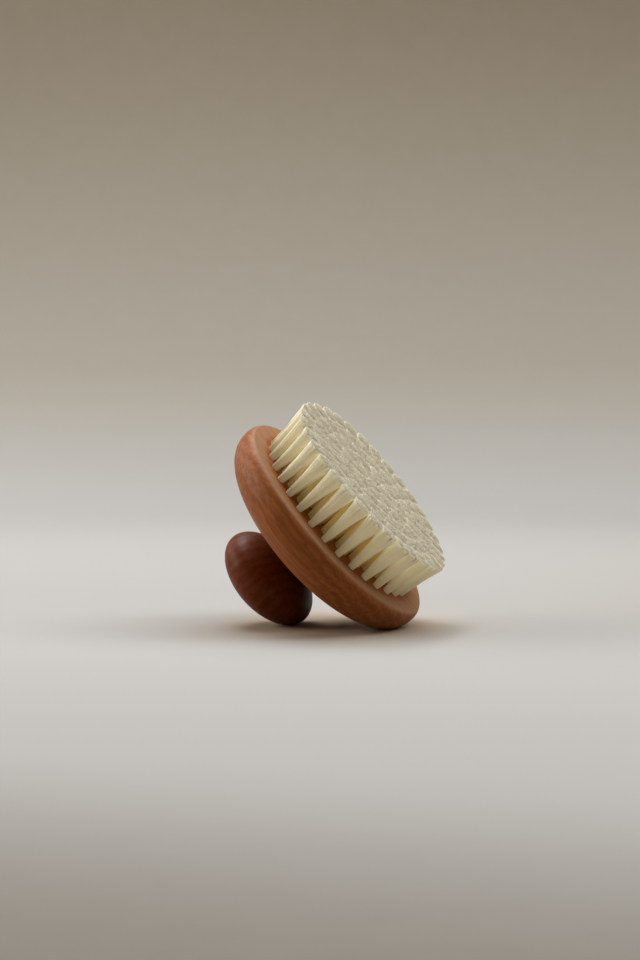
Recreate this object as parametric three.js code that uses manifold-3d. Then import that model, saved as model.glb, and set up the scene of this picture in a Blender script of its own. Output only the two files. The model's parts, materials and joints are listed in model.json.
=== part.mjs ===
// Round body brush, lying as it is put down: on the rim of its back and on its knob.
// A turned wooden back carries rings of bristle tufts, and a mushroom knob is dowelled to its dome.
// Millimetres, +Z up. The origin is on the floor, under the middle of the brush.

import * as THREE from 'three';
import { ConvexGeometry } from 'three/addons/geometries/ConvexGeometry.js';
import { mergeGeometries, mergeVertices } from 'three/addons/utils/BufferGeometryUtils.js';
import Module from 'manifold-3d';

const wasm = await Module();
wasm.setup();

// Wooden back, turned from one piece. Heights below are measured from its flat face.
const BACK_DIAMETER = 90; // at its widest line
const BACK_THICKNESS = 21; // face to the top of the dome
const EDGE_WIDTH = 1.75; // rounded edge, from the flat face out to the widest line
const EDGE_DEPTH = 3.6; // rounded edge, from the flat face down to the widest line
const DOME_POWER = 2.4; // fullness of the dome: 2 is an ellipse, more is boxier

// Knob, a flattened ball on a short neck
const KNOB_DIAMETER = 40;
const KNOB_HEIGHT = 22.4; // of the whole ball, before its end is cut flat
const KNOB_STANDOFF = 2.6; // from the dome to the ball
const KNOB_END_DIAMETER = 8; // flat at the end of the ball
const NECK_DIAMETER = 17;
const NECK_COVE = 2; // radius of the hollow between neck and ball
const SEAT_DEPTH = 1; // how far the neck is let into the dome

// Fluted dowel that joins the knob to the back
const DOWEL_DIAMETER = 8;
const DOWEL_CHAMFER = 0.8;
const DOWEL_FLUTES = 10;
const FLUTE_DEPTH = 0.5;
const BACK_BORE_WALL = 2.5; // wood left between the dowel's bore and the tuft holes
const KNOB_BORE_WALL = 10; // wood left between the dowel's bore and the end of the knob

// Tufts, set in rings of drilled holes
const TUFT_LENGTH = 18; // face to the trimmed tips
const TUFT_PITCH = 6.9; // least spacing, along a ring and from ring to ring
const FACE_MARGIN = 8.05; // edge of the flat face to the middle of the outer ring
const HOLE_DIAMETER = 4;
const HOLE_DEPTH = 8.5;
const TIP_GAP = 0.7; // between neighbouring tufts at their tips
const STRAND_GAP = 0.3; // between the strands of a tuft
const SLICE_THICKNESS = 2; // slice of the face that carries the tufts of a ring
const SLICE_MARGIN = 0.1; // slice beyond the tips of the outer ring

const CLEARANCE = 0.3; // between pieces that seat on each other

// Facets. One facet of every turned piece, and not an edge, faces the floor.
const SEGMENTS = 48;
const SLICE_SEGMENTS = 24;
const DOME_STEPS = 9;
const EDGE_STEPS = 4;
const BALL_STEPS = 11;
const COVE_STEPS = 3;
const HOLE_SIDES = 6;
const FLUTE_STEPS = 4;

const backRadius = BACK_DIAMETER / 2;
const faceRadius = backRadius - EDGE_WIDTH;
const ballRadius = KNOB_DIAMETER / 2;
const neckRadius = NECK_DIAMETER / 2;
const dowelRadius = DOWEL_DIAMETER / 2;
const boreRadius = dowelRadius + CLEARANCE;

const seatHeight = SEAT_DEPTH - BACK_THICKNESS;
const backBoreEnd = -HOLE_DEPTH - BACK_BORE_WALL;
const neckEnd = seatHeight - CLEARANCE;
const ballHeight = -BACK_THICKNESS - KNOB_STANDOFF - KNOB_HEIGHT / 2;
const ballEndAngle = -Math.acos(KNOB_END_DIAMETER / KNOB_DIAMETER);
const knobEnd = ballHeight + (KNOB_HEIGHT / 2) * Math.sin(ballEndAngle);
const knobBoreEnd = knobEnd + KNOB_BORE_WALL;

const outerRing = faceRadius - FACE_MARGIN;
const ringCount = Math.floor(outerRing / TUFT_PITCH);
const ringStep = outerRing / ringCount;
const tipHalf = (TUFT_PITCH - TIP_GAP) / 2;
const centreHalf = (ringStep - tipHalf - TIP_GAP) / Math.SQRT2; // its corners clear the ring round it
const rootHalf = (HOLE_DIAMETER / 2 - CLEARANCE) / Math.SQRT2;
const sliceRadius = outerRing + tipHalf + SLICE_MARGIN;
const recessRadius = sliceRadius + CLEARANCE;
const recessDepth = SLICE_THICKNESS + CLEARANCE;

const backWood = { color: 0x9c6f50, roughness: 0.42, metalness: 0 };
const knobWood = { color: 0x5c2c1a, roughness: 0.28, metalness: 0 };
const dowelWood = { color: 0xcfae80, roughness: 0.7, metalness: 0 };
const bristle = { color: 0xcfc6ab, roughness: 0.75, metalness: 0 };

// Points of a quarter superellipse, or of a stretch of it: power 2 is a plain ellipse.
function superArc(width, height, power, start, end, steps) {
  const grown = (value) => Math.sign(value) * Math.abs(value) ** (2 / power);
  return Array.from({ length: steps + 1 }, (_, step) => {
    const angle = start + ((end - start) * step) / steps;
    return new THREE.Vector2(width * grown(Math.cos(angle)), height * grown(Math.sin(angle)));
  });
}

function moved(points, right, up) {
  return points.map((point) => new THREE.Vector2(point.x + right, point.y + up));
}

// Turns an outline of radius and height about Z, with the middle of a facet towards +X.
function turned(outline, segments = SEGMENTS) {
  return new THREE.LatheGeometry(outline, segments, Math.PI / segments).rotateX(Math.PI / 2);
}

// Closed solid of a geometry, without the collapsed triangles that a lathe leaves on its axis.
function solid(geometry) {
  const bare = geometry.index ? geometry.toNonIndexed() : geometry.clone();
  bare.deleteAttribute('normal');
  bare.deleteAttribute('uv');
  const welded = mergeVertices(bare);
  const index = welded.index.array;
  const triangles = [];
  for (let first = 0; first < index.length; first += 3) {
    const [a, b, c] = index.slice(first, first + 3);
    if (a !== b && b !== c && c !== a) triangles.push(a, b, c);
  }
  return new wasm.Manifold(
    new wasm.Mesh({
      numProp: 3,
      vertProperties: new Float32Array(welded.attributes.position.array),
      triVerts: new Uint32Array(triangles),
    }),
  );
}

function part(name, shape, finish) {
  const { vertProperties, triVerts } = shape.getMesh();
  const geometry = new THREE.BufferGeometry();
  geometry.setAttribute('position', new THREE.BufferAttribute(vertProperties, 3));
  geometry.setIndex(new THREE.BufferAttribute(triVerts, 1));
  geometry.computeVertexNormals();
  const mesh = new THREE.Mesh(geometry, new THREE.MeshStandardMaterial(finish));
  mesh.name = name;
  return mesh;
}

// Upright prism between two heights: sides 4 gives a square with its flats along X and Y.
function prism(radius, sides, low, high) {
  const geometry = new THREE.CylinderGeometry(radius, radius, high - low, sides, 1, false, Math.PI / sides);
  return geometry.rotateX(Math.PI / 2).translate(0, 0, (low + high) / 2);
}

// Back

function backOutline() {
  const seatRadius = neckRadius + CLEARANCE;
  const seatAngle = Math.acos((seatRadius / backRadius) ** (DOME_POWER / 2));
  const edge = superArc(EDGE_WIDTH, EDGE_DEPTH, 2, Math.PI / 2, 0, EDGE_STEPS);
  const domeHeight = EDGE_DEPTH - BACK_THICKNESS;
  const dome = superArc(backRadius, domeHeight, DOME_POWER, 0, seatAngle, DOME_STEPS);
  return [
    new THREE.Vector2(0, -recessDepth),
    new THREE.Vector2(recessRadius, -recessDepth),
    new THREE.Vector2(recessRadius, 0),
    ...moved(edge, faceRadius, -EDGE_DEPTH),
    ...moved(dome, 0, -EDGE_DEPTH).slice(1),
    new THREE.Vector2(seatRadius, seatHeight),
    new THREE.Vector2(boreRadius, seatHeight),
    new THREE.Vector2(boreRadius, backBoreEnd),
    new THREE.Vector2(0, backBoreEnd),
  ].reverse();
}

function brushBack() {
  const holes = tufts().map((tuft) => {
    return placed(prism(HOLE_DIAMETER / 2, HOLE_SIDES, -HOLE_DEPTH, 0), tuft);
  });
  return solid(turned(backOutline())).subtract(solid(mergeGeometries(holes)));
}

// Knob

function knobOutline() {
  const coveRadius = neckRadius + NECK_COVE;
  const topAngle = Math.acos(coveRadius / ballRadius);
  const arc = superArc(ballRadius, KNOB_HEIGHT / 2, 2, topAngle, ballEndAngle, BALL_STEPS);
  const ball = moved(arc, 0, ballHeight);
  const cove = superArc(NECK_COVE, NECK_COVE, 2, Math.PI, 1.5 * Math.PI, COVE_STEPS);
  return [
    new THREE.Vector2(0, knobBoreEnd),
    new THREE.Vector2(boreRadius, knobBoreEnd),
    new THREE.Vector2(boreRadius, neckEnd),
    new THREE.Vector2(neckRadius, neckEnd),
    ...moved(cove, coveRadius, ball[0].y + NECK_COVE),
    ...ball.slice(1),
    new THREE.Vector2(0, knobEnd),
  ].reverse();
}

// Dowel

function dowel() {
  const top = backBoreEnd - CLEARANCE;
  const bottom = knobBoreEnd + CLEARANCE;
  const corners = DOWEL_FLUTES * FLUTE_STEPS;
  const outline = Array.from({ length: corners }, (_, corner) => {
    const angle = (2 * Math.PI * corner) / corners;
    const radius = dowelRadius - (FLUTE_DEPTH * (1 - Math.cos(DOWEL_FLUTES * angle))) / 2;
    return new THREE.Vector2(radius * Math.cos(angle), radius * Math.sin(angle));
  });
  const geometry = new THREE.ExtrudeGeometry(new THREE.Shape(outline), {
    depth: top - bottom - 2 * DOWEL_CHAMFER,
    bevelThickness: DOWEL_CHAMFER,
    bevelSize: DOWEL_CHAMFER,
    bevelOffset: -DOWEL_CHAMFER,
    bevelSegments: 1,
  });
  return solid(geometry.translate(0, 0, bottom + DOWEL_CHAMFER));
}

// Bristles

function ringRadius(ring) {
  return outerRing - ring * ringStep;
}

// Places of the tufts of some rings, counted from the outside. The last ring is one tuft on the axis.
function tufts(firstRing = 0, lastRing = ringCount) {
  const list = [];
  for (let ring = firstRing; ring <= lastRing; ring += 1) {
    const radius = ringRadius(ring);
    const count = Math.max(1, Math.floor((2 * Math.PI * radius) / TUFT_PITCH));
    for (let tuft = 0; tuft < count; tuft += 1) {
      list.push({ radius, count, angle: (2 * Math.PI * (tuft + ring / 2)) / count });
    }
  }
  return list;
}

function placed(geometry, { radius, angle }) {
  return geometry.translate(radius, 0, 0).rotateZ(angle);
}

// Half the width of a tuft's tip at a distance from the axis, kept clear of the next tuft in its ring.
function tipHalfWidth(distance, count) {
  if (count === 1) return centreHalf;
  const halfTurn = Math.PI / count;
  return Math.min(tipHalf, distance * Math.tan(halfTurn) - TIP_GAP / 2 / Math.cos(halfTurn));
}

// One strand, a quarter of a tuft: it flares from the drilled hole to its share of the tip.
function strand(tuft, outward, aside) {
  const gap = STRAND_GAP / 2;
  const tipReach = tuft.count === 1 ? centreHalf : tipHalf;
  const points = [];
  for (const [rootX, tipX] of [[gap, gap], [rootHalf, tipReach]]) {
    const tipWidth = tipHalfWidth(tuft.radius + outward * tipX, tuft.count);
    for (const [rootY, tipY] of [[gap, gap], [rootHalf, tipWidth]]) {
      points.push(new THREE.Vector3(outward * rootX, aside * rootY, -SLICE_THICKNESS / 2));
      points.push(new THREE.Vector3(outward * tipX, aside * tipY, TUFT_LENGTH));
    }
  }
  return placed(new ConvexGeometry(points), tuft);
}

// Rings of tufts on their slice of the face, with the folded roots that stand in the drilled holes.
function bristleRing(firstRing, lastRing) {
  const outside = firstRing === 0 ? sliceRadius : ringRadius(firstRing - 0.5) - CLEARANCE / 2;
  const inside = lastRing === ringCount ? 0 : ringRadius(lastRing + 0.5) + CLEARANCE / 2;
  const outline = [
    new THREE.Vector2(inside, -SLICE_THICKNESS),
    new THREE.Vector2(outside, -SLICE_THICKNESS),
    new THREE.Vector2(outside, 0),
    new THREE.Vector2(inside, 0),
  ];
  if (inside > 0) outline.push(outline[0].clone());
  const places = tufts(firstRing, lastRing);
  const quarters = [[-1, -1], [-1, 1], [1, -1], [1, 1]];
  const strands = places.flatMap((tuft) => {
    return quarters.map(([outward, aside]) => strand(tuft, outward, aside));
  });
  const roots = places.map((tuft) => {
    const root = prism(rootHalf * Math.SQRT2, 4, CLEARANCE - HOLE_DEPTH, -SLICE_THICKNESS / 2);
    return placed(root, tuft);
  });
  return solid(turned(outline, SLICE_SEGMENTS))
    .add(solid(mergeGeometries(strands)))
    .add(solid(mergeGeometries(roots)));
}

// Rest: the tilt at which the rim and the knob touch the floor together, found by halving a range.

function lowest(outline, tilt) {
  const flats = Math.cos(Math.PI / SEGMENTS);
  return Math.min(...outline.map((point) => {
    return point.y * Math.cos(tilt) - point.x * flats * Math.sin(tilt);
  }));
}

function restTilt() {
  const halvings = 50;
  let upright = 0;
  let onRim = Math.PI / 2;
  for (let step = 0; step < halvings; step += 1) {
    const tilt = (upright + onRim) / 2;
    if (lowest(knobOutline(), tilt) < lowest(backOutline(), tilt)) upright = tilt;
    else onRim = tilt;
  }
  return (upright + onRim) / 2;
}

const bristles = new THREE.Group();
bristles.add(
  part('bristles_outer_ring', bristleRing(0, 0), bristle),
  part('bristles_second_ring', bristleRing(1, 1), bristle),
  part('bristles_third_ring', bristleRing(2, 2), bristle),
  part('bristles_centre', bristleRing(3, ringCount), bristle),
);

const handle = new THREE.Group();
handle.add(
  part('knob', solid(turned(knobOutline())), knobWood),
  part('knob_dowel', dowel(), dowelWood),
);

const brush = new THREE.Group();
brush.add(part('brush_back', brushBack(), backWood), handle, bristles);
brush.rotation.y = restTilt();

const box = new THREE.Box3().setFromObject(brush, true);
const middle = box.getCenter(new THREE.Vector3());
brush.position.set(-middle.x, -middle.y, -box.min.z);

const bodyBrush = new THREE.Group();
bodyBrush.name = 'body_brush';
bodyBrush.add(brush);

export default bodyBrush;
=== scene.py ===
"""Looks of a round body brush: turned wooden back and knob, and rings of ivory bristle tufts.

Pieces are modelled about the brush's own axis, with the wooden face at height 0 and the bristles above
it, and are then laid in the frame as the CAD brush lies: on the rim of its back and on its knob.
"""

import json
import math

import bmesh
import bpy
import numpy as np
from mathutils import Matrix, Vector


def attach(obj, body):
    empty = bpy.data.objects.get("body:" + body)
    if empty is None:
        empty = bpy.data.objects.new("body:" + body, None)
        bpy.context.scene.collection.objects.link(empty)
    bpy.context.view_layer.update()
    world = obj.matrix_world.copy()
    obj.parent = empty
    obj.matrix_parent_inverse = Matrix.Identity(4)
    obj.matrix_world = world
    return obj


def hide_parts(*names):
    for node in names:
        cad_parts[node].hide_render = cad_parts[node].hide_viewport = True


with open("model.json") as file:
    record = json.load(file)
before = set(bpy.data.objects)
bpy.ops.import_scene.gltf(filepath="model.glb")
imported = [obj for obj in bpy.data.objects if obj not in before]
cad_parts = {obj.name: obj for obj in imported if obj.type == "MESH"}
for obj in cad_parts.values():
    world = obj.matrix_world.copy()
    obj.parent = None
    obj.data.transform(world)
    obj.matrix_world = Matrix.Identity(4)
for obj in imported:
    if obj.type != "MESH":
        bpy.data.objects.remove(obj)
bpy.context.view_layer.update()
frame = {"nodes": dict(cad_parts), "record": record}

MM = 0.001
SEED = 20

# Wooden back
BACK_RADIUS = 45 * MM
BACK_THICKNESS = 21 * MM
EDGE_WIDTH = 1.75 * MM
EDGE_DEPTH = 3.6 * MM
EDGE_PULL = (0.3, 0.62)
DOME_POWER = 2.4
SEAT_DEPTH = 1 * MM
FACE_RADIUS = BACK_RADIUS - EDGE_WIDTH
BACK_SEGMENTS = 192
EDGE_STEPS = 16
DOME_STEPS = 44
SHARP_ANGLE = math.radians(40)

# Knob
KNOB_RADIUS = 20 * MM
KNOB_HEIGHT = 22.4 * MM
KNOB_STANDOFF = 2.6 * MM
KNOB_END_RADIUS = 4 * MM
NECK_RADIUS = 8.5 * MM
NECK_COVE = 2 * MM
SEAT_CLEARANCE = 0.15 * MM
KNOB_SEGMENTS = 160
BALL_STEPS = 56
COVE_STEPS = 10

# Tuft pattern
TUFT_LENGTH = 18 * MM
TUFT_PITCH = 6.9 * MM
OUTER_RING_INSET = 8.05 * MM
OUTER_RING = FACE_RADIUS - OUTER_RING_INSET
RING_COUNT = math.floor(OUTER_RING / TUFT_PITCH)
RING_STEP = OUTER_RING / RING_COUNT
PATTERN_TURN = math.radians(0.9)
HOLE_RADIUS = 1.5 * MM
HOLE_DEPTH = 6 * MM
HOLE_CHAMFER = 0.2 * MM
HOLE_SIDES = 20

# Hairs of a tuft: long ones all round its outside, the shell, and the short ends of those within. Each
# kind has its reach outwards in the tuft, and for each step of its length how much it faces upwards and
# the rise that its colour is taken from
SHELL_HAIRS = 150
SHELL_AWAY = (0.955, 1.005)
SHELL_STEPS = np.array([0, 0.55, 0.9, 1])
SHELL_FACES_UP = np.array([0, 0, 0.25, 0.9])
SHELL_RISE = np.array([0, 0.53, 0.87, 0.99])
SHELL_HAIR_RADIUS = 0.11 * MM
SHELL_HAIR_ROUND = 0.75
END_HAIRS = 370
END_AWAY = (0.0, 0.95)
END_STEPS = np.array([0.86, 1])
END_FACES_UP = np.array([0.1, 1])
END_RISE = np.array([0.976, 1])
END_HAIR_RADIUS = 0.19 * MM
END_HAIR_ROUND = 0.45
HAIR_SIDES = 3
HAIR_THICKNESS = (0.8, 1.2)
HAIR_TAPER = 0.85
HAIR_SIDE_DIP = 0.1
HAIR_TONES = (0.4, 1.0)
HAIR_TIP_START = 0.95
HAIR_ROOT = -2 * MM

# Form of a tuft: its root, its flare and its trimmed top
OUTER_ROOT_RADIUS = 1.0 * MM
INNER_ROOT_RADIUS = 2.6 * MM
OUTER_TIP_HALF = (3.4 * MM, 3.25 * MM)
TIP_OVERLAP = 0.38 * MM
TIP_WIDENING = (0.4, 1.35)
OUTER_TIP_POWER = 2.3
INNER_TIP_POWER = 4.0
OUTER_FLARE_POWER = 1.6
INNER_FLARE_POWER = 2.0
TRIM_TWIST = 0.5 * MM
TWIST_ANGLE = math.radians(125)
TRIM_CREST = 0.9 * MM
CROWN = 0.2 * MM
CROWN_POWER = 4

# Unevenness of the hairs and of the tufts, and the small locks that the hairs gather in
TRIM_SCATTER = 0.075 * MM
SHELL_FUZZ = 0.09 * MM
INNER_FUZZ = 0.22 * MM
END_FUZZ = 0.12 * MM
WAVE = 0.10 * MM
TUFT_LEAN = 0.26 * MM
TUFT_UNEVEN = 0.05 * MM
LOCKS = 13
LOCK_SPREAD = 0.8
LOCK_LIMIT = 0.9
LOCK_REACH = 0.4
LOCK_PULL = 0.2
LOCK_ROUND = 0.2

# Packed heart of a tuft: its outer hairs lie half sunk in it and their tips stand out above it
HEART_SIDES = 28
HEART_STEPS = np.array([0, 0.55, 0.9, 0.99, 1])
HEART_SHARE = 0.96
HEART_FLUTES = 0.03
HEART_BELOW = 0.5 * MM
HEART_REACH = 1 - HEART_BELOW / (TUFT_LENGTH - HAIR_ROOT)
HEART_TOP_INSET = 0.15
# Tones below about 0.4, on the inner tufts, their hearts and the heart tops, pick the painted golden light
# and painted shade of the bristle material
HEART_TONE = 0.5
HEART_TOP_TONE = 0.17
INNER_TONE = 0.4

# Share of a hair's cell in the bake map that stays empty round its sides and at its ends
SIDE_MARGIN = 0.1
CAP_MARGIN = 0.05

# Camera: the photograph's view
CAMERA_TURN = math.radians(16.9)
CAMERA_PITCH = math.radians(2.31)
CAMERA_DISTANCE = 723.1 * MM
CAMERA_RIGHT = -6.7 * MM
CAMERA_UP = 52.9 * MM
CAMERA_LENS = 75

rng = np.random.default_rng(SEED)

mounts = {mount["name"]: mount for mount in frame["record"]["mounts"]}
face_point = Vector(mounts["face_rim"]["pos_m"])
brush_axis = Vector(mounts["face_rim"]["axis"])
face_centre = Vector((face_point.x, 0, face_point.z))
brush_tilt = math.atan2(brush_axis.x, brush_axis.z)
LAY = Matrix.Translation(face_centre) @ Matrix.Rotation(brush_tilt, 4, "Y")


# Mesh helpers


def new_piece(name, mesh, material, slot, *nodes):
    """A piece that rides on the brush in place of some CAD nodes."""
    piece = bpy.data.objects.new(name, mesh)
    bpy.context.collection.objects.link(piece)
    mesh.materials.clear()
    mesh.materials.append(material)
    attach(piece, "root")
    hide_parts(*nodes)


def super_arc(width, height, power, start, end, steps):
    """Points of radius and height along a stretch of a superellipse; power 2 is a plain ellipse."""
    angles = np.linspace(start, end, steps + 1)
    across, along = np.cos(angles), np.sin(angles)
    radius = width * np.sign(across) * np.abs(across) ** (2 / power)
    rise = height * np.sign(along) * np.abs(along) ** (2 / power)
    return np.column_stack([radius, rise])


def turned_mesh(name, outline, segments, sharp_angle):
    """Closed mesh turned about the axis, with flat caps at the two ends of its outline."""
    turns = np.linspace(0, 2 * math.pi, segments, endpoint=False)
    radius, height = np.asarray(outline).T
    rings = np.stack(
        [
            np.outer(radius, np.cos(turns)),
            np.outer(radius, np.sin(turns)),
            np.outer(height, np.ones(segments)),
        ],
        axis=-1,
    )
    row = np.arange(segments)
    after = (row + 1) % segments
    faces = []
    for ring in range(len(radius) - 1):
        low, high = ring * segments, (ring + 1) * segments
        faces += np.column_stack([low + row, low + after, high + after, high + row]).tolist()
    last = (len(radius) - 1) * segments
    faces += [row.tolist(), (last + row).tolist()]
    mesh = bpy.data.meshes.new(name)
    mesh.from_pydata(rings.reshape(-1, 3).tolist(), [], faces)
    shaped = bmesh.new()
    shaped.from_mesh(mesh)
    bmesh.ops.recalc_face_normals(shaped, faces=shaped.faces)
    shaped.to_mesh(mesh)
    shaped.free()
    mesh.shade_smooth()
    mesh.set_sharp_from_angle(angle=sharp_angle)
    return mesh


def laid(vectors, move):
    """Vectors of the brush's own frame turned, and moved if they are places, into the row frame."""
    turn = np.array(LAY.to_3x3())
    return vectors @ turn.T + move * np.array(LAY.translation)


def cut_away(mesh, cutter):
    """The mesh less a cutter, both in the brush's own frame."""
    whole = bpy.data.objects.new("whole", mesh)
    tool = bpy.data.objects.new("tool", cutter)
    for part in (whole, tool):
        bpy.context.collection.objects.link(part)
    cut = whole.modifiers.new("cut", "BOOLEAN")
    cut.operation = "DIFFERENCE"
    cut.solver = "EXACT"
    cut.object = tool
    bpy.context.view_layer.update()
    result = bpy.data.meshes.new_from_object(whole.evaluated_get(bpy.context.evaluated_depsgraph_get()))
    for part in (whole, tool):
        bpy.data.objects.remove(part)
    return result


# Turned wood


def back_outline():
    """Radius and height from the face over the rounded edge and the dome to the knob's seat."""
    step = np.linspace(0, 1, EDGE_STEPS + 1)[:, None]
    start = np.array([0, EDGE_DEPTH])
    corner = np.array([EDGE_PULL[0] * EDGE_WIDTH, EDGE_DEPTH])
    side = np.array([EDGE_WIDTH, EDGE_PULL[1] * EDGE_DEPTH])
    end = np.array([EDGE_WIDTH, 0])
    edge = (1 - step) ** 3 * start + 3 * (1 - step) ** 2 * step * corner
    edge += 3 * (1 - step) * step**2 * side + step**3 * end
    seat_radius = NECK_RADIUS + SEAT_CLEARANCE
    seat_angle = math.acos((seat_radius / BACK_RADIUS) ** (DOME_POWER / 2))
    dome_height = EDGE_DEPTH - BACK_THICKNESS
    dome = super_arc(BACK_RADIUS, dome_height, DOME_POWER, 0, seat_angle, DOME_STEPS)
    edge += (FACE_RADIUS, -EDGE_DEPTH)
    dome += (0, -EDGE_DEPTH)
    seat = [(seat_radius, SEAT_DEPTH - BACK_THICKNESS)]
    return np.vstack([edge, dome[1:], seat])


def knob_outline():
    """Radius and height from the neck's top over the cove and the ball to the flat end."""
    cove_radius = NECK_RADIUS + NECK_COVE
    ball_height = -BACK_THICKNESS - KNOB_STANDOFF - KNOB_HEIGHT / 2
    top_angle = math.acos(cove_radius / KNOB_RADIUS)
    end_angle = -math.acos(KNOB_END_RADIUS / KNOB_RADIUS)
    ball = super_arc(KNOB_RADIUS, KNOB_HEIGHT / 2, 2, top_angle, end_angle, BALL_STEPS)
    cove = super_arc(NECK_COVE, NECK_COVE, 2, math.pi, 1.5 * math.pi, COVE_STEPS)
    ball += (0, ball_height)
    cove += (cove_radius, ball[0, 1] + NECK_COVE)
    neck = [(NECK_RADIUS, SEAT_DEPTH - BACK_THICKNESS - SEAT_CLEARANCE)]
    return np.vstack([neck, cove, ball[1:]])


def tufts(first_ring=0, last_ring=RING_COUNT):
    """Radius, angle and count in its ring of each tuft, ring by ring from the outside."""
    places = []
    for ring in range(first_ring, last_ring + 1):
        radius = OUTER_RING - ring * RING_STEP
        count = max(1, math.floor(2 * math.pi * radius / TUFT_PITCH))
        for tuft in range(count):
            angle = PATTERN_TURN + 2 * math.pi * (tuft + ring / 2) / count
            places.append((radius, angle, count))
    return places


def hole_cutter():
    """All the tuft holes as one mesh, each with a small chamfer at its mouth."""
    sides = HOLE_SIDES
    turns = np.linspace(0, 2 * math.pi, sides, endpoint=False)
    profile = [
        (HOLE_RADIUS, -HOLE_DEPTH),
        (HOLE_RADIUS, -HOLE_CHAMFER),
        (HOLE_RADIUS + HOLE_CHAMFER, 0),
        (HOLE_RADIUS + HOLE_CHAMFER, HOLE_CHAMFER),
    ]
    row = np.arange(sides)
    after = (row + 1) % sides
    vertices, faces = [], []
    for radius, angle, _ in tufts():
        start = len(vertices)
        for width, height in profile:
            for turn in turns:
                x = radius * math.cos(angle) + width * math.cos(turn)
                y = radius * math.sin(angle) + width * math.sin(turn)
                vertices.append((x, y, height))
        for ring in range(len(profile) - 1):
            low, high = start + ring * sides, start + (ring + 1) * sides
            faces += np.column_stack([low + row, low + after, high + after, high + row]).tolist()
        faces.append((start + row[::-1]).tolist())
        faces.append((start + (len(profile) - 1) * sides + row).tolist())
    mesh = bpy.data.meshes.new("tuft_holes")
    mesh.from_pydata(vertices, [], faces)
    return mesh


# Bristles


def square_disc(points, power):
    """Points of the unit disc, spread over the superellipse of that power."""
    angle = np.arctan2(points[:, 1], points[:, 0])
    reach = (np.abs(np.cos(angle)) ** power + np.abs(np.sin(angle)) ** power) ** (-1 / power)
    return points * reach[:, None]


def trim_height(x, y):
    """Height of the trimmed tips over a place on the face: nearly level, twisted, highest at one side."""
    angle = np.arctan2(y, x)
    share = (x**2 + y**2) / OUTER_RING**2
    twist = TRIM_TWIST * np.cos(2 * (angle - TWIST_ANGLE))
    crest = TRIM_CREST * (0.5 - 0.5 * np.cos(angle)) ** 2
    return TUFT_LENGTH + share * (twist + crest)


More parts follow.
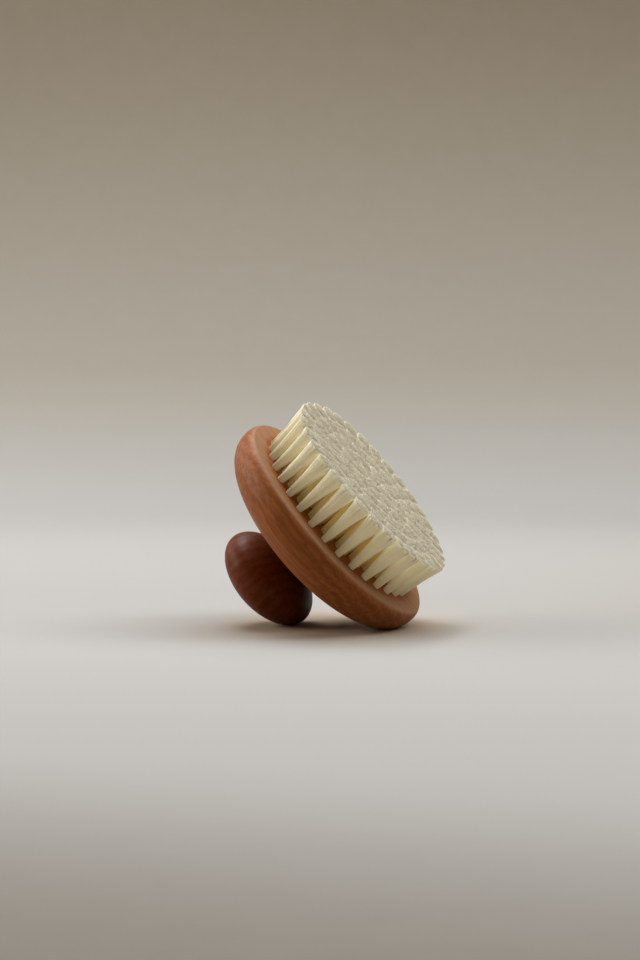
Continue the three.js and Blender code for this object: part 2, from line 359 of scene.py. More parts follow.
class Tuft:
    """A tuft of hairs, with its place in the pattern and its own small lean and shortfall."""

    def __init__(self, radius, angle, count):
        half_step = RING_STEP / 2
        half_pitch = math.pi * radius / count if count > 1 else half_step
        cosine, sine = math.cos(angle), math.sin(angle)
        self.radius = radius
        self.count = count
        self.turn = np.array([[cosine, sine], [-sine, cosine]])
        self.lean = rng.normal(0, TUFT_LEAN, 2)
        self.uneven = abs(rng.normal(0, TUFT_UNEVEN))
        self.inward_half = np.array([half_step, half_pitch]) + TIP_OVERLAP
        if radius == OUTER_RING:
            self.root_radius = OUTER_ROOT_RADIUS
            self.flare_power = OUTER_FLARE_POWER
            self.inward_half[1] = OUTER_TIP_HALF[1]
            self.outward_half = np.array(OUTER_TIP_HALF)
            self.outward_power = OUTER_TIP_POWER
        else:
            self.root_radius = INNER_ROOT_RADIUS
            self.flare_power = INNER_FLARE_POWER
            self.outward_half = self.inward_half
            self.outward_power = INNER_TIP_POWER
        self.locks = self.fill(rng.uniform(-LOCK_SPREAD, LOCK_SPREAD, (LOCKS, 2)))

    def fill(self, disc):
        """Places of the unit disc spread over the tuft's squarish top; the outer ring is round outwards."""
        outward = disc[:, :1] > 0
        return np.where(outward, square_disc(disc, self.outward_power), square_disc(disc, INNER_TIP_POWER))

    def reach(self, spread):
        """Tips for places of the top, widening away from the brush's axis."""
        half = np.where(spread[:, :1] > 0, self.outward_half, self.inward_half)
        tip = half * spread + self.lean
        if self.count > 1:
            tip[:, 1] *= np.clip((self.radius + tip[:, 0]) / self.radius, *TIP_WIDENING)
        return tip

    def on_face(self, flat):
        """Places about the tuft's own axis as places about the brush's axis."""
        return (flat + (self.radius, 0)) @ self.turn

    def lines(self, away, steps, faces_up, fuzz):
        """Centre lines of hairs, given how far out in the tuft each is, and the way their points face."""
        hairs = len(away)
        bearing = rng.uniform(0, 2 * math.pi, hairs)
        side = np.column_stack([np.cos(bearing), np.sin(bearing)])
        disc = away[:, None] * side
        spread = self.fill(disc)
        nearest = np.argmin(((spread[:, None] - self.locks[None]) ** 2).sum(axis=2), axis=1)
        from_lock = spread - self.locks[nearest]
        spread -= np.where(away < LOCK_LIMIT, LOCK_PULL, 0)[:, None] * from_lock
        root = self.root_radius * disc
        tip = self.reach(spread) + rng.normal(0, fuzz, (hairs, 2))
        flat = root[:, None] + (steps**self.flare_power)[None, :, None] * (tip - root)[:, None]
        flat += rng.normal(0, 1, (hairs, 1, 2)) * (WAVE * np.sin(math.pi * steps))[None, :, None]
        flat = self.on_face(flat)
        top = trim_height(flat[:, -1, 0], flat[:, -1, 1]) - self.uneven
        top -= CROWN * away**CROWN_POWER
        top -= np.abs(rng.normal(0, TRIM_SCATTER, hairs))
        height = HAIR_ROOT + steps[None] * (top - HAIR_ROOT)[:, None]
        slope = CROWN_POWER * CROWN / self.outward_half.mean() * away ** (CROWN_POWER - 1)
        cap = LOCK_ROUND * np.clip(from_lock / LOCK_REACH, -1, 1) + slope[:, None] * side
        end = faces_up[None, :, None]
        across = ((1 - end) * side[:, None] + end * cap[:, None]) @ self.turn
        upward = np.broadcast_to((1 + HAIR_SIDE_DIP) * faces_up - HAIR_SIDE_DIP, height.shape)
        return np.dstack([flat, height]), np.dstack([across, upward])

    def heart(self):
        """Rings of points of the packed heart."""
        bearing = np.linspace(0, 2 * math.pi, HEART_SIDES, endpoint=False)
        disc = np.column_stack([np.cos(bearing), np.sin(bearing)])
        disc *= HEART_SHARE + rng.uniform(-HEART_FLUTES, HEART_FLUTES, (HEART_SIDES, 1))
        root = self.root_radius * disc
        tip = self.reach(self.fill(disc))
        flat = root[None] + (HEART_STEPS**self.flare_power)[:, None, None] * (tip - root)[None]
        flat[-1] += HEART_TOP_INSET * (self.lean - flat[-1])
        flat = self.on_face(flat)
        top = trim_height(flat[-1, :, 0], flat[-1, :, 1]) - self.uneven - HEART_BELOW
        height = HAIR_ROOT + HEART_STEPS[:, None] * (top - HAIR_ROOT)[None]
        return np.dstack([flat, height])


def tube_faces(tubes, points, sides):
    """Side faces of many tubes whose vertices are numbered by tube, then by ring, then round it."""
    tube = np.arange(tubes)[:, None, None] * points * sides
    ring = np.arange(points - 1)[None, :, None] * sides
    side = np.arange(sides)[None, None, :]
    after = (side + 1) % sides
    low = tube + ring
    high = low + sides
    corners = np.broadcast_arrays(low + side, low + after, high + after, high + side)
    return np.stack(corners, axis=-1).reshape(-1, 4)


def tube_uv(tubes, points, sides, first_cell, cells):
    """Map of the side faces, with a cell of its own for each tube."""
    cell = first_cell + np.arange(tubes)[:, None, None]
    ring = np.arange(points - 1)[None, :, None]
    side = np.arange(sides)[None, None, :]
    filled = 1 - 2 * SIDE_MARGIN
    corners = []
    for right, up in ((0, 0), (1, 0), (1, 1), (0, 1)):
        u = SIDE_MARGIN + filled * (side + right) / sides
        v = SIDE_MARGIN + filled * (ring + up) / (points - 1)
        u, v = np.broadcast_arrays(cell % cells + u, cell // cells + v)
        corners.append(np.stack([u, v], axis=-1) / cells)
    return np.stack(corners, axis=-2).reshape(-1, 2)


def cap_faces(tubes, points, sides, ring):
    """One end face for each tube."""
    start = np.arange(tubes)[:, None] * points * sides + ring * sides
    order = np.arange(sides) if ring else np.arange(sides)[::-1]
    return start + order[None]


def cap_uv(tubes, sides, first_cell, cells, height):
    """Map of the end faces, as a line across each tube's cell."""
    cell = first_cell + np.repeat(np.arange(tubes), sides)
    share = np.tile((np.arange(sides) + 0.5) / sides, tubes)
    return np.column_stack([cell % cells + share, cell // cells + height]) / cells


def hair_tubes(lines, facing, radius, own_round):
    """Three-sided tubes along some centre lines, and the way their points face."""
    hairs, points = lines.shape[:2]
    taper = np.linspace(1, HAIR_TAPER, points)
    thin = radius * rng.uniform(*HAIR_THICKNESS, (hairs, 1)) * taper[None]
    round_hair = np.arange(HAIR_SIDES) * 2 * math.pi / HAIR_SIDES
    turns = rng.uniform(0, 2 * math.pi, (hairs, 1, 1)) + round_hair
    ring = np.stack([np.cos(turns), np.sin(turns), np.zeros_like(turns)], axis=-1)
    skin = lines[:, :, None] + thin[:, :, None, None] * ring
    return skin, facing[:, :, None] + own_round * ring


def tuft_tubes(places):
    """Tubes of some tufts in three groups: points, the way they face, tone and rise of each ring."""
    grown = [Tuft(*place) for place in places]
    outer = places[0][0] == OUTER_RING
    low_tone = 1.0 if outer else INNER_TONE
    hair_kinds = (
        (
            SHELL_HAIRS,
            SHELL_AWAY,
            SHELL_STEPS,
            SHELL_FACES_UP,
            SHELL_RISE,
            SHELL_FUZZ if outer else INNER_FUZZ,
            SHELL_HAIR_RADIUS,
            SHELL_HAIR_ROUND,
        ),
        (
            END_HAIRS,
            END_AWAY,
            END_STEPS,
            END_FACES_UP,
            END_RISE,
            END_FUZZ,
            END_HAIR_RADIUS,
            END_HAIR_ROUND,
        ),
    )
    groups = []
    for count, (inmost, outmost), steps, faces_up, rise, fuzz, radius, own_round in hair_kinds:
        aways = [np.sqrt(rng.uniform(inmost**2, outmost**2, count)) for _ in grown]
        hairs = [tuft.lines(away, steps, faces_up, fuzz) for tuft, away in zip(grown, aways)]
        lines = np.concatenate([line for line, _ in hairs])
        facing = np.concatenate([face for _, face in hairs])
        along_tone = np.where(steps < HAIR_TIP_START, low_tone, 1.0)
        tone = rng.uniform(*HAIR_TONES, (len(lines), 1)) * along_tone[None]
        groups.append((*hair_tubes(lines, facing, radius, own_round), tone, rise))
    hearts = np.stack([tuft.heart() for tuft in grown])
    heart_facing = hearts - hearts.mean(axis=2, keepdims=True)
    heart_facing[:, -1] = (0, 0, 1)
    heart_tone = np.full(hearts.shape[:2], HEART_TONE * low_tone)
    heart_tone[:, -1] = HEART_TOP_TONE
    groups.append((hearts, heart_facing, heart_tone, HEART_REACH * HEART_STEPS))
    return groups


def bristle_mesh(name, places):
    """Hairs and hearts of some tufts as one mesh, with a tone and a rise for each point."""
    groups = tuft_tubes(places)
    cells = math.ceil(math.sqrt(sum(len(points) for points, _, _, _ in groups)))
    start, cell = 0, 0
    vertices, normals, tones, rises, faces, maps = [], [], [], [], [], []
    for points, facing, tone, rise in groups:
        tubes, rings, sides = points.shape[:3]
        vertices.append(points.reshape(-1, 3))
        normals.append(facing.reshape(-1, 3))
        tones.append(np.repeat(tone.ravel(), sides))
        rises.append(np.tile(np.repeat(rise, sides), tubes))
        faces.append(start + tube_faces(tubes, rings, sides))
        maps.append(tube_uv(tubes, rings, sides, cell, cells))
        for ring, height in ((0, CAP_MARGIN), (rings - 1, 1 - CAP_MARGIN)):
            faces.append(start + cap_faces(tubes, rings, sides, ring))
            maps.append(cap_uv(tubes, sides, cell, cells, height))
        start += tubes * rings * sides
        cell += tubes
    mesh = bpy.data.meshes.new(name)
    mesh.vertices.add(start)
    mesh.vertices.foreach_set("co", laid(np.concatenate(vertices), 1).ravel())
    corners = np.concatenate([group.ravel() for group in faces])
    totals = np.concatenate([np.full(len(group), group.shape[1]) for group in faces])
    mesh.loops.add(len(corners))
    mesh.loops.foreach_set("vertex_index", corners)
    mesh.polygons.add(len(totals))
    mesh.polygons.foreach_set("loop_start", np.concatenate([[0], np.cumsum(totals)[:-1]]))
    mesh.update(calc_edges=True)
    bake_map = mesh.uv_layers.new(name="OFBake")
    bake_map.data.foreach_set("uv", np.concatenate(maps).ravel())
    for attribute, values in (("tone", tones), ("rise", rises)):
        layer = mesh.attributes.new(attribute, "FLOAT", "POINT")
        layer.data.foreach_set("value", np.concatenate(values))
    mesh.validate()
    mesh.shade_smooth()
    turned = laid(np.concatenate(normals), 0)
    turned /= np.linalg.norm(turned, axis=1, keepdims=True)
    mesh.normals_split_custom_set_from_vertices(turned)
    return mesh


# Materials


class Nodes:
    """Short way to write a material's node tree."""

    def __init__(self, name):
        self.material = bpy.data.materials.new(name)
        self.material.use_nodes = True
        self.tree = self.material.node_tree
        self.shader = self.tree.nodes["Principled BSDF"]

    def add(self, kind, inputs=None, **settings):
        """A node with its settings, and with values or links in its inputs."""
        node = self.tree.nodes.new(kind)
        for key, value in settings.items():
            setattr(node, key, value)
        for socket, value in (inputs or {}).items():
            self.put(node.inputs[socket], value)
        return node

    def put(self, socket, value):
        """A link if the value is another node's output, or else a constant."""
        if isinstance(value, bpy.types.NodeSocket):
            self.tree.links.new(value, socket)
        else:
            socket.default_value = value

    def brush_place(self):
        """Places in the brush's own frame, as it was modelled."""
        place = self.add("ShaderNodeTexCoord").outputs["Object"]
        inputs = {"Vector": place, "Location": face_centre, "Rotation": (0, brush_tilt, 0)}
        return self.add("ShaderNodeMapping", inputs, vector_type="TEXTURE").outputs["Vector"]

    def noise(self, vector, scale, detail, roughness=0.5, distortion=0.0):
        """Cloudy noise between about 0.2 and 0.8."""
        inputs = {
            "Vector": vector,
            "Scale": scale,
            "Detail": detail,
            "Roughness": roughness,
            "Distortion": distortion,
        }
        return self.add("ShaderNodeTexNoise", inputs).outputs["Fac"]

    def mapped(self, vector, scale, rotation=(0, 0, 0), location=(0, 0, 0)):
        """Places scaled, turned and moved."""
        inputs = {"Vector": vector, "Scale": scale, "Rotation": rotation, "Location": location}
        return self.add("ShaderNodeMapping", inputs).outputs["Vector"]

    def span(self, value, low, high, to_low=0.0, to_high=1.0):
        """A smooth step, from to_low to to_high as the value goes from low to high."""
        inputs = {0: value, 1: low, 2: high, 3: to_low, 4: to_high}
        return self.add("ShaderNodeMapRange", inputs, interpolation_type="SMOOTHSTEP").outputs["Result"]

    def maths(self, operation, first, second):
        """One operation on two values."""
        return self.add("ShaderNodeMath", {0: first, 1: second}, operation=operation).outputs["Value"]

    def mix(self, share, first, second):
        """The first colour with a share of the second in it."""
        node = self.add("ShaderNodeMix", data_type="RGBA")
        self.put(node.inputs["Factor"], share)
        self.put(node.inputs["A"], first)
        self.put(node.inputs["B"], second)
        return next(socket for socket in node.outputs if socket.type == "RGBA")


def colour(red, green, blue):
    """Linear colour with alpha, from the 0 to 255 values that a screen shows."""
    shown = [part / 255 for part in (red, green, blue)]
    linear = [part / 12.92 if part <= 0.04045 else ((part + 0.055) / 1.055) ** 2.4 for part in shown]
    return (*linear, 1)


# Grain of turned wood: scales per metre, how far the specks are drawn out along the grain, and spans of
# the noise that become colour. Here and below, a span is where a smooth step starts and ends, followed
# by its two values where these aren't 0 and 1
RING_OFFSET = (0, 0.045, 0.07)
RING_SCALE = 90
RING_SHARE = 0.15
GRAIN_SPAN = (0.30, 0.66)
STREAK_SCALE = 800
STREAK_STRETCH = (0.045, 1, 1)
STREAK_SHARE = 0.85
STREAK_SPAN = (0.3, 0.7)
STREAK_ROUGHNESS = (-0.06, 0.08)
STREAK_RELIEF = 0.5
PORE_SCALE = 2300
PORE_STRETCH = (0.10, 1, 1)
PORE_SPAN = (0.62, 0.74, 0.0, 0.55)
PATCH_SCALE = 38
PATCH_SPAN = (0.35, 0.7, 0.0, 0.3)
GRAIN_BUMP = 0.12
GRAIN_DEPTH = 0.15 * MM

# Bare ring of the face, painted paler than the rest as painted sheen and painted bounce light from the
# bristles:
# where it starts beyond the outer tufts, and its edge
SHEEN_RING_INSIDE = (OUTER_RING + 2 * MM, OUTER_RING + 4 * MM)
SHEEN_RING_LEVEL = (-0.3 * EDGE_DEPTH, -0.05 * MM, 0.0, 0.5)


def wood(name, light, dark, pore, grain_turn, roughness, specular, coat, coat_roughness, painted_sheen_ring=None):
    """Turned hardwood: growth rings, fine streaks and short dark pores along the grain, under lacquer."""
    nodes = Nodes(name)
    place = nodes.brush_place()
    along = nodes.mapped(place, (1, 1, 1), rotation=grain_turn)
    offset = nodes.mapped(along, (1, 1, 1), location=RING_OFFSET)
    rings = nodes.add(
        "ShaderNodeTexWave",
        {"Vector": offset, "Scale": RING_SCALE, "Distortion": 5, "Detail": 3, "Detail Scale": 0.7},
        wave_type="RINGS",
        rings_direction="X",
    ).outputs["Fac"]
    streaks = nodes.noise(nodes.mapped(along, STREAK_STRETCH), STREAK_SCALE, detail=4, roughness=0.6)
    pores = nodes.noise(nodes.mapped(along, PORE_STRETCH), PORE_SCALE, detail=2)
    patches = nodes.noise(along, PATCH_SCALE, detail=3, distortion=0.4)
    ring_part = nodes.maths("MULTIPLY", rings, RING_SHARE)
    streak_part = nodes.maths("MULTIPLY", streaks, STREAK_SHARE)
    grain = nodes.maths("ADD", ring_part, streak_part)
    shade = nodes.mix(nodes.span(grain, *GRAIN_SPAN), light, dark)
    tinted = nodes.mix(nodes.span(patches, *PATCH_SPAN), shade, dark)
    # Painted sheen and bounce light: the bare ring of the face is paler
    if painted_sheen_ring:
        apart = nodes.add("ShaderNodeSeparateXYZ", {"Vector": place}).outputs
        flat = nodes.add("ShaderNodeCombineXYZ", {"X": apart["X"], "Y": apart["Y"]}).outputs["Vector"]
        radius = nodes.add("ShaderNodeVectorMath", {0: flat}, operation="LENGTH").outputs["Value"]
        beyond = nodes.span(radius, *SHEEN_RING_INSIDE)
        level = nodes.span(apart["Z"], *SHEEN_RING_LEVEL)
        tinted = nodes.mix(nodes.maths("MULTIPLY", beyond, level), tinted, painted_sheen_ring)
    pore_share = nodes.span(pores, *PORE_SPAN)
    rough_values = [roughness + change for change in STREAK_ROUGHNESS]
    rough = nodes.span(streaks, *STREAK_SPAN, *rough_values)
    nodes.put(nodes.shader.inputs["Base Color"], nodes.mix(pore_share, tinted, pore))
    nodes.put(nodes.shader.inputs["Roughness"], rough)
    relief = nodes.maths("MULTIPLY", streaks, STREAK_RELIEF)
    depth = nodes.maths("SUBTRACT", relief, pore_share)
    inputs = {"Height": depth, "Strength": GRAIN_BUMP, "Distance": GRAIN_DEPTH}
    bump = nodes.add("ShaderNodeBump", inputs)
    nodes.put(nodes.shader.inputs["Normal"], bump.outputs["Normal"])
    nodes.put(nodes.shader.inputs["Specular IOR Level"], specular)
    nodes.put(nodes.shader.inputs["Coat Weight"], coat)
    nodes.put(nodes.shader.inputs["Coat Roughness"], coat_roughness)
    return nodes.material


# Bristle: colours by rise in the tuft and by tone, with painted shade at the roots, between the tufts and
# at the cut tips, painted light on the tops and in the golden inner tufts, and a painted glow for light
# carried through the hairs
IVORY_PAINTED_ROOT_SHADE = colour(240, 231, 197)
IVORY_PAINTED_TIP_LIGHT = colour(249, 247, 232)
IVORY_CLUMP = colour(238, 228, 193)
IVORY_DEEP = colour(222, 208, 164)
GOLD_PAINTED_ROOT_SHADE = colour(186, 138, 56)
GOLD_PAINTED_CARRIED_LIGHT = colour(242, 206, 116)
GAP_PAINTED_SHADE_DARK = colour(170, 155, 120)
GAP_PAINTED_SHADE_LIGHT = colour(196, 184, 152)
TIP_PAINTED_SHADE_DARK = colour(198, 189, 164)
TIP_PAINTED_SHADE_LIGHT = colour(210, 202, 178)
GLOW_WITHIN = colour(255, 216, 126)
GLOW_OUTSIDE = colour(255, 242, 200)
CLUMP_SCALE = 420
CLUMP_SPAN = (0.35, 0.7, 0.0, 0.3)
HAIR_END_SCALE = 2600
HAIR_END_SPAN = (0.42, 0.58)
DEEP_TONES = (*HAIR_TONES, 0.5, 0.0)
WITHIN_TONES = (0.1, 0.41, 0.9, 0.0)
OUTSIDE_TONES = (0.39, 0.42)
GOLD_RISE = (0.08, 0.5)
GAP_RISE = (0.88, 0.95)
TIP_RISE = (0.975, 1.0)
GLOW_FROM_ROOT = (0.05, 0.45, 0.025, 0.08)
GLOW_TO_TIP = (0.7, 0.95, 0.08, 0.0)
GLOW_OUTSIDE_RISE = (0.0, 0.75, 0.05, 0.15)
GLOW_END = (0.972, 1.0, 1.0, 0.0)
HAIR_ROUGHNESS = (0.0, 1.0, 0.62, 0.45)
HAIR_SPECULAR = 0.3
RIDGE_SCALE = 6000
RIDGE_STRETCH = (1, 1, 0.05)
RIDGE_BUMP = 0.1
RIDGE_DEPTH = 0.05 * MM


def bristle():
    """Ivory hair, with painted golden light and painted shade between the tufts low in the field, and
    painted shade at the beige cut tips.

    The low tones are the inner tufts and the hearts. The ivory is painted darker at the roots and paler at
    the tips.
    Real hair carries light along, which a painted glow stands for: golden within the field, stronger on the
    outer tufts and none at the cut tips.
    """
    nodes = Nodes("ivory_bristle")
    place = nodes.brush_place()
    tone = nodes.add("ShaderNodeAttribute", attribute_name="tone").outputs["Fac"]
    rise = nodes.add("ShaderNodeAttribute", attribute_name="rise").outputs["Fac"]
    clumps = nodes.noise(place, CLUMP_SCALE, detail=3, roughness=0.55)
    # Painted shade and light: the ivory is darker and yellower at the roots and paler at the tips
    body = nodes.mix(rise, IVORY_PAINTED_ROOT_SHADE, IVORY_PAINTED_TIP_LIGHT)
    clumped = nodes.mix(nodes.span(clumps, *CLUMP_SPAN), body, IVORY_CLUMP)
    each = nodes.mix(nodes.span(tone, *DEEP_TONES), clumped, IVORY_DEEP)
    ends = nodes.noise(place, HAIR_END_SCALE, detail=1)
    # Painted shade: the heart tops, low among the cut tips, take a darker colour for the shade between the
    # hairs, mottled at random
    between = nodes.mix(nodes.span(ends, *HAIR_END_SPAN), GAP_PAINTED_SHADE_DARK, GAP_PAINTED_SHADE_LIGHT)
    # Painted light and shade: the inner tufts are golden for light carried through the hairs, and darker
    # towards their roots for the shade between the tufts
    golden = nodes.mix(nodes.span(rise, *GOLD_RISE), GOLD_PAINTED_ROOT_SHADE, GOLD_PAINTED_CARRIED_LIGHT)
    depth = nodes.mix(nodes.span(rise, *GAP_RISE), golden, between)
    deep = nodes.mix(nodes.span(tone, *WITHIN_TONES), each, depth)
    # Painted shade: the cut tips are a darker beige for the light lost between them; their specks differ at
    # random by tone
    specks = nodes.mix(nodes.span(tone, *HAIR_TONES), TIP_PAINTED_SHADE_DARK, TIP_PAINTED_SHADE_LIGHT)
    tipped = nodes.mix(nodes.span(rise, *TIP_RISE), deep, specks)
    nodes.put(nodes.shader.inputs["Base Color"], tipped)
    # Painted light: the hairs glow faintly though they are no lamp, standing in for light carried through
    # them
    outside = nodes.span(tone, *OUTSIDE_TONES)
    nodes.put(nodes.shader.inputs["Emission Color"], nodes.mix(outside, GLOW_WITHIN, GLOW_OUTSIDE))
    glow_low = nodes.span(rise, *GLOW_FROM_ROOT)
    glow_high = nodes.span(rise, *GLOW_TO_TIP)
    glow_within = nodes.maths("MINIMUM", glow_low, glow_high)
    glow_outside = nodes.span(rise, *GLOW_OUTSIDE_RISE)
    glow = nodes.mix(outside, glow_within, glow_outside)
    below_tip = nodes.span(rise, *GLOW_END)
    nodes.put(nodes.shader.inputs["Emission Strength"], nodes.maths("MULTIPLY", glow, below_tip))
    nodes.put(nodes.shader.inputs["Roughness"], nodes.span(tone, *HAIR_ROUGHNESS))
    nodes.put(nodes.shader.inputs["Specular IOR Level"], HAIR_SPECULAR)
    ridges = nodes.noise(nodes.mapped(place, RIDGE_STRETCH), RIDGE_SCALE, detail=2)
    inputs = {"Height": ridges, "Strength": RIDGE_BUMP, "Distance": RIDGE_DEPTH}
    bump = nodes.add("ShaderNodeBump", inputs)
    nodes.put(nodes.shader.inputs["Normal"], bump.outputs["Normal"])
    return nodes.material


# Paper: colours over the floor and up the wall, with painted light and shade and a painted warm bounce, the
# colour of the light that it gives back, and spans of its places in metres: across the floor, towards the
# camera and up the wall
PAPER_LEFT = colour(165, 164, 162)
PAPER_RIGHT_PAINTED_SHADE = colour(157, 152, 144)
PAPER_NEAR_PAINTED_LIGHT = colour(174, 173, 171)
PAPER_FRONT_PAINTED_SHADE = colour(138, 133, 125)
PAPER_LOW_WALL_PAINTED_SHADE = colour(155, 150, 140)
PAPER_HIGH_WALL_PAINTED_SHADE = colour(141, 131, 113)
PAPER_FIBRE = colour(172, 167, 160)
PAPER_PAINTED_WARM_BOUNCE = colour(178, 161, 141)
PAPER_BOUNCE = colour(137, 124, 104)
PAPER_ACROSS = (-0.05, 0.35)
PAPER_TO_NEAR = (0.1, -0.12)
PAPER_TO_FRONT = (-0.26, -0.44)
PAPER_TO_LOW_WALL = (0.0, 0.12)
PAPER_TO_HIGH_WALL = (0.05, 0.6)
PAPER_ROUGHNESS = 0.9
PAPER_SPECULAR = 0.1
FIBRE_SCALE = 60
FIBRE_SPAN = (0.3, 0.7, 0.0, 0.05)
CLOSED_IN_DISTANCE = 50 * MM
CLOSED_IN_SAMPLES = 4
CLOSED_IN_SPAN = (0.25, 0.95, 1.0, 0.0)


def paper():
    """Seamless pale paper with painted shade, darker to the right, in front and up the wall, painted light
    just in front of the brush, and a painted warm bounce light where the brush closes it in.

    It gives back less light than it shows, so that the undersides stay as dark as in the photograph.
    """
    nodes = Nodes("pale_paper")
    place = nodes.add("ShaderNodeTexCoord").outputs["Object"]
    apart = nodes.add("ShaderNodeSeparateXYZ", {"Vector": place}).outputs
    fibre = nodes.noise(place, FIBRE_SCALE, detail=2)
    # Painted light and shade: darker to the right, lighter just in front of the brush, darker further in
    # front and up the wall
    level = nodes.mix(nodes.span(apart["X"], *PAPER_ACROSS), PAPER_LEFT, PAPER_RIGHT_PAINTED_SHADE)
    near = nodes.mix(nodes.span(apart["Y"], *PAPER_TO_NEAR), level, PAPER_NEAR_PAINTED_LIGHT)
    flat = nodes.mix(nodes.span(apart["Y"], *PAPER_TO_FRONT), near, PAPER_FRONT_PAINTED_SHADE)
    low = nodes.mix(nodes.span(apart["Z"], *PAPER_TO_LOW_WALL), flat, PAPER_LOW_WALL_PAINTED_SHADE)
    tone = nodes.mix(nodes.span(apart["Z"], *PAPER_TO_HIGH_WALL), low, PAPER_HIGH_WALL_PAINTED_SHADE)
    pale = nodes.mix(nodes.span(fibre, *FIBRE_SPAN), tone, PAPER_FIBRE)
    # Painted warm bounce light from the wood, where the brush closes the paper in
    openness = nodes.add(
        "ShaderNodeAmbientOcclusion",
        {"Distance": CLOSED_IN_DISTANCE},
        samples=CLOSED_IN_SAMPLES,
    ).outputs["AO"]
    closed_in = nodes.span(openness, *CLOSED_IN_SPAN)
    warmed = nodes.mix(closed_in, pale, PAPER_PAINTED_WARM_BOUNCE)
    rays = nodes.add("ShaderNodeLightPath").outputs
    mirrored = nodes.maths("MAXIMUM", rays["Is Glossy Ray"], rays["Is Transmission Ray"])
    seen = nodes.maths("MAXIMUM", rays["Is Camera Ray"], mirrored)
    nodes.put(nodes.shader.inputs["Base Color"], nodes.mix(seen, PAPER_BOUNCE, warmed))
    nodes.put(nodes.shader.inputs["Roughness"], PAPER_ROUGHNESS)
    nodes.put(nodes.shader.inputs["Specular IOR Level"], PAPER_SPECULAR)
    return nodes.material


back_wood = wood(
    "satin_back_wood",
    light=colour(165, 100, 52),
    dark=colour(138, 77, 35),
    pore=colour(94, 51, 28),
    grain_turn=(0, 0, 0),
    roughness=0.5,
    specular=0.15,
    coat=0.05,
    coat_roughness=0.35,
    # Painted sheen and bounce light on the bare ring of the face
    painted_sheen_ring=colour(154, 127, 101),
)
knob_wood = wood(
    "glossy_knob_wood",
    light=colour(116, 57, 23),
    dark=colour(98, 44, 15),
    pore=colour(46, 18, 7),
    grain_turn=(0, math.pi / 2, 0),
    roughness=0.48,
    specular=0.08,
    coat=0.05,
    coat_roughness=0.18,
)
dowel_wood = wood(
    "plain_dowel_wood",
    light=colour(214, 184, 140),
    dark=colour(190, 156, 110),
    pore=colour(150, 116, 76),
    grain_turn=(0, math.pi / 2, 0),
    roughness=0.7,
    specular=0.2,
    coat=0.0,
    coat_roughness=0.3,
)
ivory = bristle()

# Pieces

back_blank = turned_mesh("turned_back", back_outline(), BACK_SEGMENTS, SHARP_ANGLE)
back_mesh = cut_away(back_blank, hole_cutter())
back_mesh.transform(LAY)
new_piece("turned_back", back_mesh, back_wood, "back_wood", "brush_back")

knob_mesh = turned_mesh("turned_knob", knob_outline(), KNOB_SEGMENTS, SHARP_ANGLE)
knob_mesh.transform(LAY)
new_piece("turned_knob", knob_mesh, knob_wood, "knob_wood", "knob")

dowel_slots = frame["nodes"]["knob_dowel"].material_slots
dowel_slots[0].material = dowel_wood

TUFT_GROUPS = (
    ("tufts_outer_ring", 0, 0, "bristles_outer_ring"),
    ("tufts_second_ring", 1, 1, "bristles_second_ring"),
    ("tufts_third_ring", 2, 2, "bristles_third_ring"),
    ("tufts_centre", 3, RING_COUNT, "bristles_centre"),
)
for group_name, first_ring, last_ring, node in TUFT_GROUPS:
    tuft_mesh = bristle_mesh(group_name, tufts(first_ring, last_ring))
    new_piece(group_name, tuft_mesh, ivory, "bristle", node)

# Stage: a floor that sweeps up into a wall all round

FLOOR_HUB = 1 * MM
FLOOR_RADIUS = 0.62
SWEEP_RADIUS = 0.6
SWEEP_STEPS = 16
WALL_HEIGHT = 1.3
STAGE_SEGMENTS = 96


def stage_mesh():
    """Turned sheet with its upper side towards the brush."""
    sweep = super_arc(SWEEP_RADIUS, SWEEP_RADIUS, 2, -math.pi / 2, 0, SWEEP_STEPS)
    sweep += (FLOOR_RADIUS, SWEEP_RADIUS)
    wall_top = (FLOOR_RADIUS + SWEEP_RADIUS, WALL_HEIGHT)
    outline = np.vstack([[(FLOOR_HUB, 0)], sweep, [wall_top]])
    segments = STAGE_SEGMENTS
    turns = np.linspace(0, 2 * math.pi, segments, endpoint=False)
    row = np.arange(segments)
    after = (row + 1) % segments
    vertices = [
        (radius * math.cos(turn), radius * math.sin(turn), height)
        for radius, height in outline
        for turn in turns
    ]
    faces = [row.tolist()]
    for ring in range(len(outline) - 1):
        low, high = ring * segments, (ring + 1) * segments
        faces += np.column_stack([low + row, high + row, high + after, low + after]).tolist()
    mesh = bpy.data.meshes.new("paper_sweep")
    mesh.from_pydata(vertices, [], faces)
    mesh.shade_smooth()
    mesh.materials.append(paper())
    return mesh


floor = bpy.data.objects.new("paper_sweep", stage_mesh())
bpy.context.collection.objects.link(floor)

# Light: broad and soft from overhead, a smaller key behind on the left that shines on the knob, a warm
# light low on the left, a weaker one behind it, one on the right, and a faint warm room


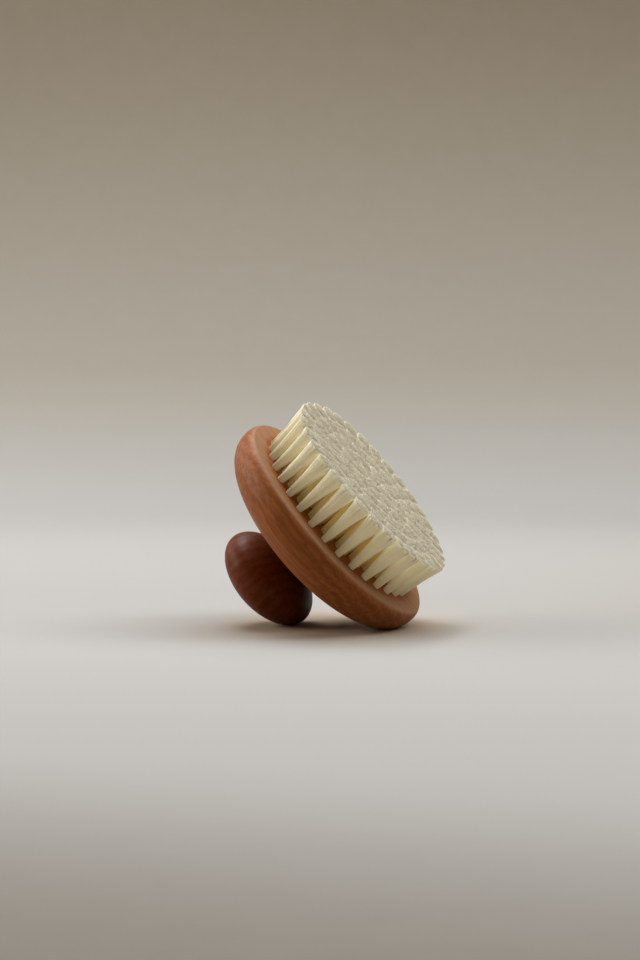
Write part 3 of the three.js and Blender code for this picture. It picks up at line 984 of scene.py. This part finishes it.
def soft_light(name, place, aim, width, depth, watts, tint):
    """A rectangular light that the camera doesn't see."""
    lamp = bpy.data.lights.new(name, "AREA")
    lamp.shape = "RECTANGLE"
    lamp.size = width
    lamp.size_y = depth
    lamp.energy = watts
    lamp.color = tint
    holder = bpy.data.objects.new(name, lamp)
    bpy.context.collection.objects.link(holder)
    holder.location = place
    holder.rotation_euler = (Vector(aim) - Vector(place)).to_track_quat("-Z", "Y").to_euler()
    holder.visible_camera = False


WHITE = (1, 1, 1)
WARM = (1.0, 0.92, 0.82)
BRUSH = (0, 0, 0.05)
BEHIND_BRUSH = (0, 0.1, 0.03)
ROOM_TINT = (1.0, 0.92, 0.84, 1)
ROOM_STRENGTH = 0.03

# Name, place and aim in metres, width, depth, watts and tint
LIGHTS = (
    ("overhead_light", (0.06, 0.3, 0.9), BEHIND_BRUSH, 1.4, 1.0, 12.0, WHITE),
    ("key_light", (-0.39, 0.42, 0.98), BRUSH, 0.35, 0.35, 3.2, WHITE),
    ("left_light", (-0.97, -0.22, 0.4), BRUSH, 0.7, 0.7, 7.2, WARM),
    ("left_back_light", (-0.8, 0.3, 0.5), BRUSH, 0.6, 0.6, 1.6, WHITE),
    ("right_light", (0.8, 0.25, 0.7), BRUSH, 0.6, 0.6, 3.6, WHITE),
)
for light in LIGHTS:
    soft_light(*light)

world = bpy.data.worlds.new("soft_room")
bpy.context.scene.world = world
world.use_nodes = True
room = world.node_tree.nodes["Background"]
room.inputs["Color"].default_value = ROOM_TINT
room.inputs["Strength"].default_value = ROOM_STRENGTH

# Camera

right = Vector((math.cos(CAMERA_TURN), math.sin(CAMERA_TURN), 0))
back = Vector(
    (
        math.sin(CAMERA_TURN) * math.cos(CAMERA_PITCH),
        -math.cos(CAMERA_TURN) * math.cos(CAMERA_PITCH),
        math.sin(CAMERA_PITCH),
    )
)
up = back.cross(right)
foot = Vector((face_centre.x, 0, 0))
camera = bpy.data.objects.new("camera", bpy.data.cameras.new("camera"))
bpy.context.collection.objects.link(camera)
camera.data.lens = CAMERA_LENS
camera.matrix_world = Matrix.Translation(
    foot + right * CAMERA_RIGHT + up * CAMERA_UP + back * CAMERA_DISTANCE
) @ Matrix((right, up, back)).transposed().to_4x4()
bpy.context.scene.camera = camera

bpy.context.scene.view_settings.view_transform = "Standard"
